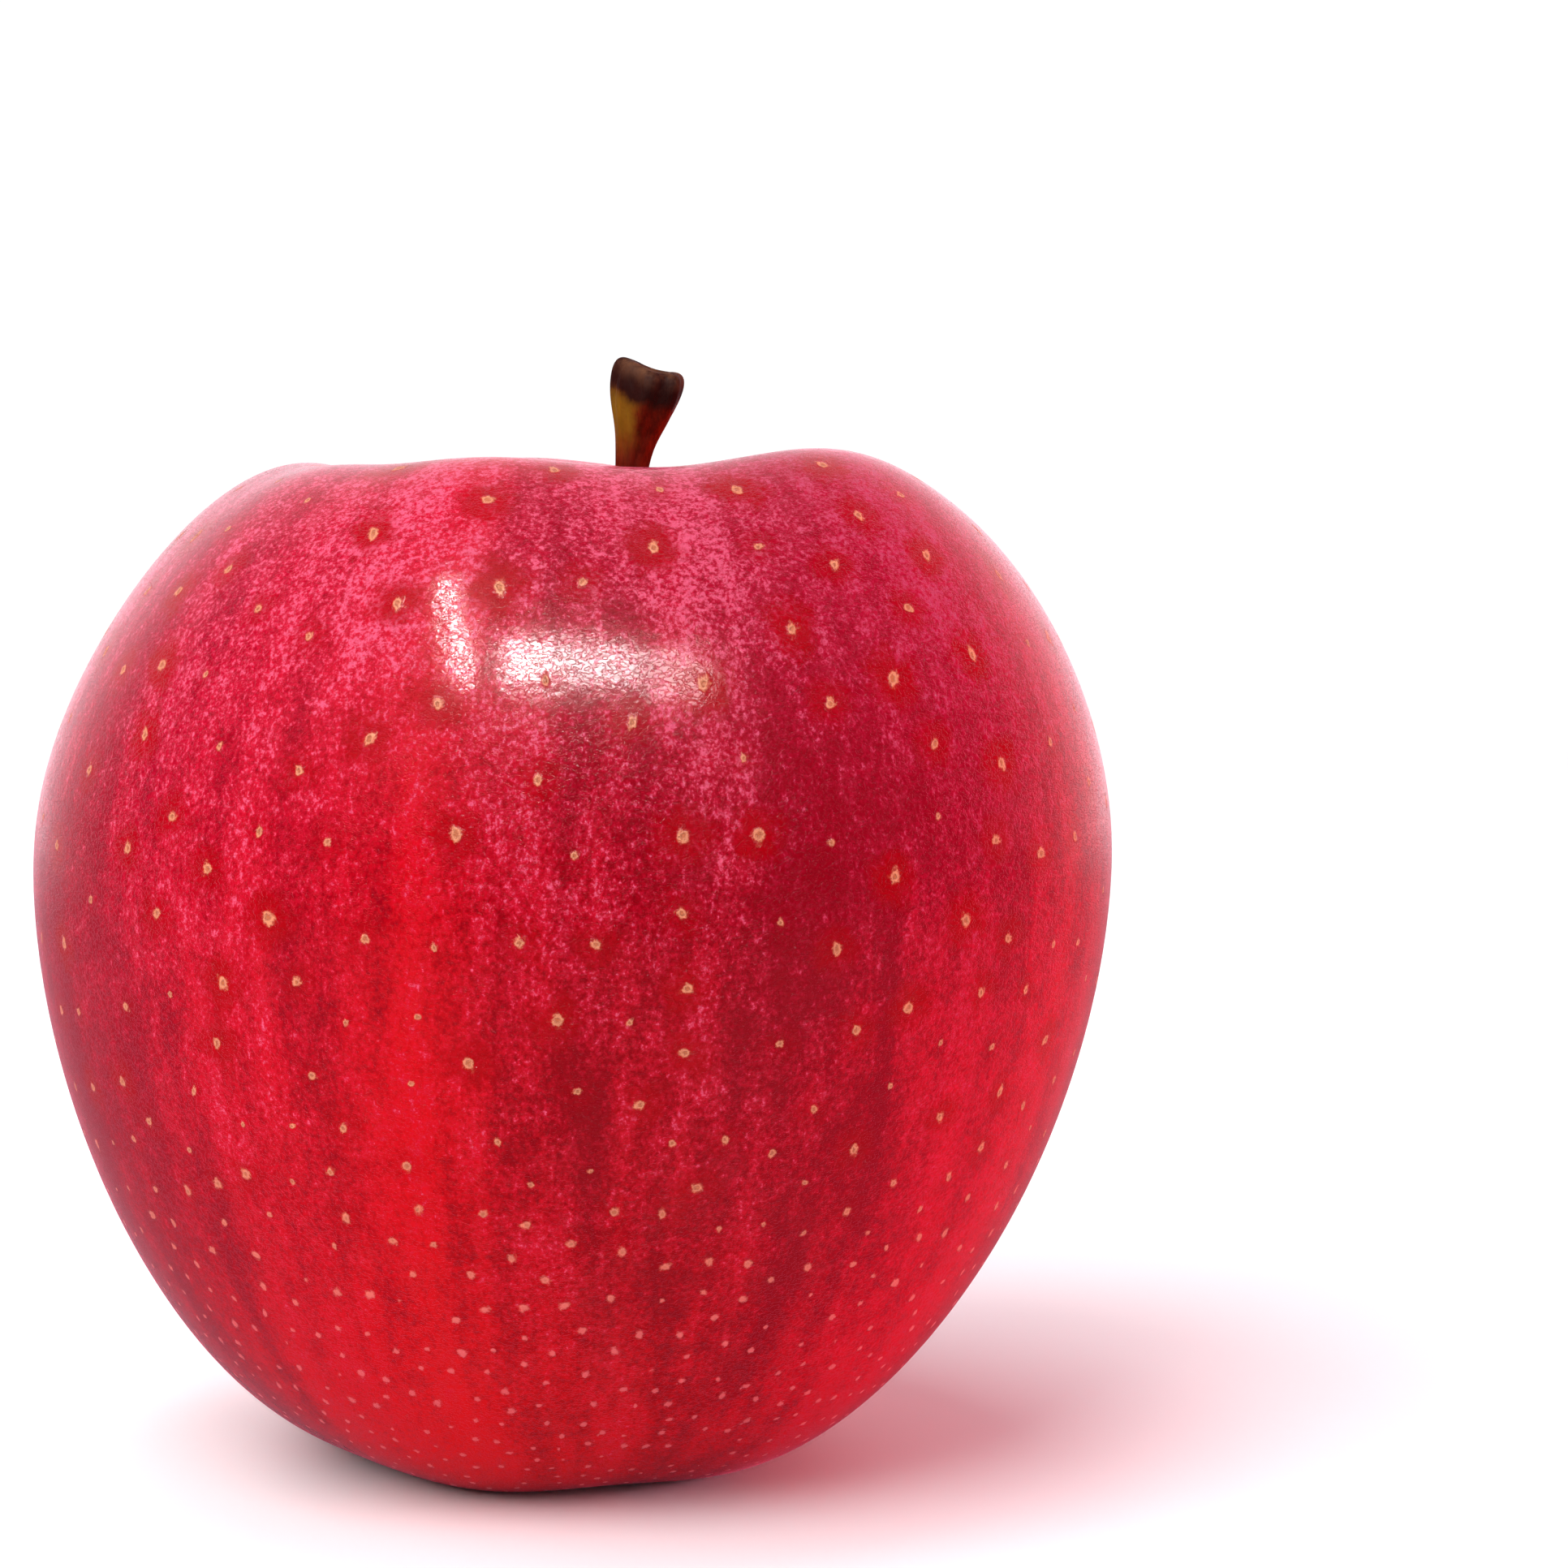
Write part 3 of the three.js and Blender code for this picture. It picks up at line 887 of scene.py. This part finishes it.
def sepal_rings(sizes, heading, random):
    """Rings of one sepal, from root to tip. Each ring is a flat oval whose width narrows to the
    tip by a power of the distance left. The leaf is cupped across, curls towards the calyx's
    middle with the square of the distance, twists a little, and its edges ripple."""
    along = np.linspace(0, 1, 60)[:, None]
    around = headings(40)
    half_width = sizes.sepal_width / 2 * np.maximum(1 - along**1.6, 0.004) * (1 - 0.12 * along)
    half_thick = sizes.sepal_thickness / 2 * (1 - 0.7 * along) * np.maximum(1 - along**6, 0.02)
    edge = np.cos(around)
    ripple = 1 + 0.05 * np.sin(9 * along + random.uniform(0, TURN)) + 0.03 * np.sin(21 * along)
    across = half_width * edge * ripple
    cup = 0.28 * across**2 / (sizes.sepal_width / 2)
    crumple = 0.00012 * np.sin(11 * along + 3 * edge + random.uniform(0, TURN))
    crumple = crumple * ease(along, 0, 0.3)
    depth = half_thick * np.sin(around) - cup + crumple
    twist = random.uniform(-0.25, 0.25) * along
    inward = sizes.curl * along**2
    outward = sizes.ring_radius + sizes.sepal_thickness / 2 - inward + depth
    x = across * np.cos(twist)
    y = -(outward + across * np.sin(twist))
    z = -sizes.sepal_length * along
    cos, sin = math.cos(heading), math.sin(heading)
    turned = np.stack(np.broadcast_arrays(x * cos - y * sin, x * sin + y * cos, z), axis=-1)
    return turned + calyx_centre()


def sepal_finish(sizes):
    """Dry brown leaf with darker edges, lengthwise veins and a matt down."""
    leaf = new_finish("sepal_leaf")
    place = leaf.attribute("leaf_place")
    edge = leaf.part(place, "X")
    along = leaf.part(place, "Y")
    body = leaf.place()
    veins = leaf.noise(leaf.stretched(place, (9, 1.2, 1)), 1.0, 2.0)
    down = leaf.noise(body, 0.00018, 2.0, 0.6)
    dark = (edge * edge * 0.8 + along * 0.7 + (down - 0.5) * 0.6).ease(0.5, 1.3)
    shade = leaf.mix(veins.ease(0.35, 0.65), [0.7 * v for v in sizes.leaf], sizes.leaf)
    shade = leaf.mix(dark, shade, sizes.leaf_edge)
    shader = leaf.principled({
        "Base Color": shade,
        "Roughness": 0.75 + down * 0.2,
        "Specular IOR Level": 0.2,
        "Sheen Weight": 0.15,
        "Normal": leaf.bump(veins * 0.6 + down * 0.4, 0.0002),
    })
    return leaf.surface(shader)


class APPLE_OT_sepals(bpy.types.Operator):
    """Grow the five dried sepals round the calyx"""

    bl_idname = "apple.sepals"
    bl_label = "Sepals"

    def execute(self, context):
        sizes = context.scene.apple_calyx
        first = context.scene.apple_fruit.lobe_heading
        random = np.random.default_rng(3)
        material = sepal_finish(sizes)
        for i in range(5):
            rings = sepal_rings(sizes, first + i * TURN / 5, random)
            mesh = mesh_of(f"sepal_leaf_{i + 1}", [skin_over(rings)])
            count, around = rings.shape[:2]
            edge = np.tile(np.cos(headings(around)), count)
            along = np.repeat(np.linspace(0, 1, count), around)
            place = np.stack([edge, along, np.full(len(edge), i)], axis=1)
            poles = np.array([[0, 0, i], [0, 1, i]])
            write_attribute(mesh, "leaf_place", np.concatenate([place, poles]))
            add_piece(f"sepal_leaf_{i + 1}", mesh, material, "sepals", f"sepal_{i + 1}")
        return {"FINISHED"}


def thread_rings(sizes, root, direction, bow, tip_size):
    """Rings of one stamen: a thin tube along a line that bows sideways by a half wave, with an
    oval swelling at its end."""
    along = np.linspace(0, 1, 26)
    around = headings(10)
    centre = root + along[:, None] * direction + np.sin(along * math.pi)[:, None] * bow
    swelling = 1 + tip_size * np.exp(-(((along - 0.94) / 0.05) ** 2))
    radius = sizes.thread_radius * swelling * np.sqrt(np.clip((1 - along) / 0.06, 0.02, 1))
    circle = np.stack([np.sin(around), -np.cos(around), np.zeros_like(around)], axis=-1)
    rings = centre[:, None, :] + radius[:, None, None] * circle
    return rings[::-1]


def tuft_base_rings(sizes, centre):
    """Rings of the tuft's base: a quarter ellipse turned round, rippled, and closed by a flat."""
    radius = sizes.ring_radius - sizes.base_gap
    slope = np.linspace(0.02, 1, 24) * math.pi / 2
    around = headings(48)
    dome = np.stack([radius * np.sin(slope), -sizes.base_height * np.cos(slope)])
    wall = np.stack([np.linspace(radius, radius * 0.05, 6), np.zeros(6)])
    outline = np.concatenate([dome, wall], axis=1).T
    ripple = 1 + 0.05 * np.sin(5 * around) + 0.03 * np.sin(11 * around)
    x = outline[:, :1] * np.sin(around) * ripple
    y = -outline[:, :1] * np.cos(around) * ripple
    return np.stack(np.broadcast_arrays(x, y, outline[:, 1:]), axis=-1) + centre


class APPLE_OT_stamens(bpy.types.Operator):
    """Grow the tuft of withered stamens between the sepals"""

    bl_idname = "apple.stamens"
    bl_label = "Stamens"

    def execute(self, context):
        sizes = context.scene.apple_calyx
        random = np.random.default_rng(8)
        centre = calyx_centre()
        surfaces = [skin_over(tuft_base_rings(sizes, centre))]
        for i in range(sizes.thread_count):
            heading = (i + random.uniform(-0.3, 0.3)) * TURN / sizes.thread_count
            out = np.array([math.sin(heading), -math.cos(heading), 0])
            lean = sizes.thread_lean * random.uniform(0.3, 1.2)
            reach = sizes.thread_length * random.uniform(0.75, 1.0)
            direction = reach * (out * math.sin(lean) - np.array([0, 0, math.cos(lean)]))
            root = centre + out * random.uniform(0.0004, 0.0008)
            root = root - np.array([0, 0, sizes.base_height / 2])
            bow = random.normal(0, 0.00018, 3) * (1, 1, 0)
            rings = thread_rings(sizes, root, direction, bow, random.uniform(0.6, 1.4))
            surfaces.append(skin_over(rings))
        mesh = mesh_of("stamen_tuft", surfaces)
        add_piece("stamen_tuft", mesh, thread_finish(sizes), "stamens", "stamens")
        return {"FINISHED"}


def thread_finish(sizes):
    """Withered dark threads with paler dry flecks."""
    dry = new_finish("stamen_thread")
    body = dry.place()
    flecks = dry.noise(body, 0.0004, 3.0, 0.6)
    paler = [min(1.0, 2.4 * v) for v in sizes.thread]
    shade = dry.mix(flecks.ease(0.4, 0.75), sizes.thread, paler)
    shader = dry.principled({
        "Base Color": shade,
        "Roughness": 0.7 + flecks * 0.25,
        "Specular IOR Level": 0.2,
        "Normal": dry.bump(flecks, 0.0001),
    })
    return dry.surface(shader)


# ---- stage


def add_floor(look):
    """A flat square under the apple, shown but not part of it, that fades into the world's white.
    It is pale where it is seen, and darker and matt where the apple mirrors it, which is painted
    shade in the skin's reflections."""
    half = look.floor_size / 2
    corners = np.array([[-half, -half, 0], [half, -half, 0], [half, half, 0], [-half, half, 0]])
    mesh = mesh_of("floor", [(corners, [np.array([[0, 1, 2, 3]])])])
    paint = new_finish("floor_paint")
    fade = paint.size_of(paint.place()).ease(3 * look.floor_fade, look.floor_fade)
    shaders = {0: paint.node("ShaderNodeLightPath").outputs["Is Glossy Ray"]}
    # The second coat is the floor's darker copy for reflections: painted shade.
    coats = ((look.floor_colour, 0.5, 0.1), (look.floor_mirrored_painted_shade, 1.0, 0.0))
    for i, (tint, rough, shine) in enumerate(coats, 1):
        coat = {"Base Color": opaque(tint), "Roughness": rough, "Specular IOR Level": shine}
        shaders[i] = paint.principled({**coat, "Alpha": fade}).outputs[0]
    shader = paint.node("ShaderNodeMixShader", None, shaders)
    mesh.materials.append(paint.surface(shader))
    floor = bpy.data.objects.new("floor", mesh)
    bpy.context.scene.collection.objects.link(floor)


def add_light(name, watts, size, aim, direction, distance, diffuse, roll=0.0, tint=(1, 1, 1)):
    """A flat rectangular lamp, seen from the point aim in a direction, that faces that point. It
    lights matt surfaces, or else it shows only as a reflection. The roll turns it in its plane."""
    lamp = bpy.data.lights.new(name, "AREA")
    lamp.shape = "RECTANGLE"
    lamp.size, lamp.size_y = size
    lamp.energy = watts
    lamp.color = tint
    light = bpy.data.objects.new(name, lamp)
    direction = Vector(direction).normalized()
    light.location = Vector(aim) + distance * direction
    facing = (-direction).to_track_quat("-Z", "Y")
    light.rotation_euler = (facing @ Quaternion((0, 0, 1), roll)).to_euler()
    light.visible_diffuse = diffuse
    light.visible_glossy = not diffuse
    light.visible_camera = False
    bpy.context.scene.collection.objects.link(light)


def light_world(look):
    """White where the camera looks past the floor. Matt surfaces get an almost even fill, and
    reflections show white only behind the apple, so the near side stays deep and the edges turn
    pale."""
    world = bpy.data.worlds.new("studio")
    bpy.context.scene.world = world
    air = Finish(world)
    direction = air.node("ShaderNodeTexCoord").outputs["Generated"]
    behind = air.part(direction, "Y").ease(look.dark_from, look.white_from)
    ray = air.node("ShaderNodeLightPath")
    glossy = Amount(air, ray.outputs["Is Glossy Ray"])
    even = (1 - glossy) * (behind * 0.3 + 0.85) * look.fill
    strength = glossy * behind * look.mirror_fill + even
    shaders = {0: ray.outputs["Is Camera Ray"]}
    for i, (tint, power) in enumerate(((look.fill_colour, strength), ((1, 1, 1), 1.05)), 1):
        light = {"Color": opaque(tint), "Strength": power}
        shaders[i] = air.node("ShaderNodeBackground", None, light).outputs[0]
    air.surface(air.node("ShaderNodeMixShader", None, shaders))


class APPLE_OT_stage(bpy.types.Operator):
    """Set the floor, the soft lights and the camera"""

    bl_idname = "apple.stage"
    bl_label = "Stage"

    def execute(self, context):
        look = context.scene.apple_stage
        scene = context.scene
        add_floor(look)
        light_world(look)
        middle = (0, 0, 0.04)
        near = (0, -0.033, 0.06)
        gloss, roll, pink = look.gloss, look.strip_roll, look.rim_colour
        add_light("key", look.key, (1.2, 1.1), middle, (-0.66, -0.62, 0.95), 1.1, True)
        add_light("top", look.top, (0.45, 0.45), middle, (-0.05, 0.08, 1.0), 0.9, True)
        add_light("rim", look.rim, (0.5, 0.16), middle, (0.92, 0.24, 0.06), 0.9, True, 0, pink)
        reflections = (
            ("gloss_wide", 1.0, (0.46, 0.16), (0.05, -0.69, 0.71), 1.0, 0),
            ("gloss_core", 0.26, (0.15, 0.11), (-0.09, -0.70, 0.70), 0.9, 0),
            ("gloss_tail", 0.2, (0.16, 0.18), (0.38, -0.66, 0.69), 1.0, 0),
            ("gloss_strip", 0.55, (0.05, 0.44), (-0.365, -0.53, 0.757), 1.0, roll),
        )
        for name, part, size, direction, distance, turn in reflections:
            add_light(name, gloss * part, size, near, direction, distance, False, turn)
        lens = bpy.data.cameras.new("camera")
        lens.sensor_width = 36
        lens.lens = look.lens
        camera = bpy.data.objects.new("camera", lens)
        camera.location = (look.camera_right, -look.camera_back, look.camera_height)
        camera.rotation_euler = (math.pi / 2 - look.camera_pitch, 0, 0)
        scene.collection.objects.link(camera)
        scene.camera = camera
        scene.view_settings.view_transform = "Standard"
        return {"FINISHED"}


# ---- add-on


class APPLE_PT_parts(bpy.types.Panel):
    """Lists the apple's pieces and their sizes"""

    bl_idname = "APPLE_PT_parts"
    bl_label = "Apple"
    bl_space_type = "VIEW_3D"
    bl_region_type = "UI"
    bl_category = "Apple"

    def draw(self, context):
        for operator in OPERATORS:
            self.layout.operator(operator.bl_idname)
        for name in SETTINGS:
            box = self.layout.box()
            group = getattr(context.scene, name)
            for key in group.bl_rna.properties.keys():
                if key not in {"rna_type", "name"}:
                    box.prop(group, key)


OPERATORS = (APPLE_OT_fruit, APPLE_OT_stem, APPLE_OT_sepals, APPLE_OT_stamens, APPLE_OT_stage)
SETTINGS = {
    "apple_fruit": FruitSizes,
    "apple_skin": SkinLook,
    "apple_stem": StemSizes,
    "apple_calyx": CalyxSizes,
    "apple_stage": StageLook,
}


def register():
    for group in (*SETTINGS.values(), *OPERATORS, APPLE_PT_parts):
        bpy.utils.register_class(group)
    for name, group in SETTINGS.items():
        setattr(bpy.types.Scene, name, PointerProperty(type=group))


def unregister():
    for name in SETTINGS:
        delattr(bpy.types.Scene, name)
    for group in (APPLE_PT_parts, *OPERATORS, *SETTINGS.values()):
        bpy.utils.unregister_class(group)


def main():
    """Builds every piece."""
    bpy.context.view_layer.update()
    register()
    bpy.ops.apple.fruit()
    bpy.ops.apple.stem()
    bpy.ops.apple.sepals()
    bpy.ops.apple.stamens()
    bpy.ops.apple.stage()


if __name__ == "__main__":
    main()
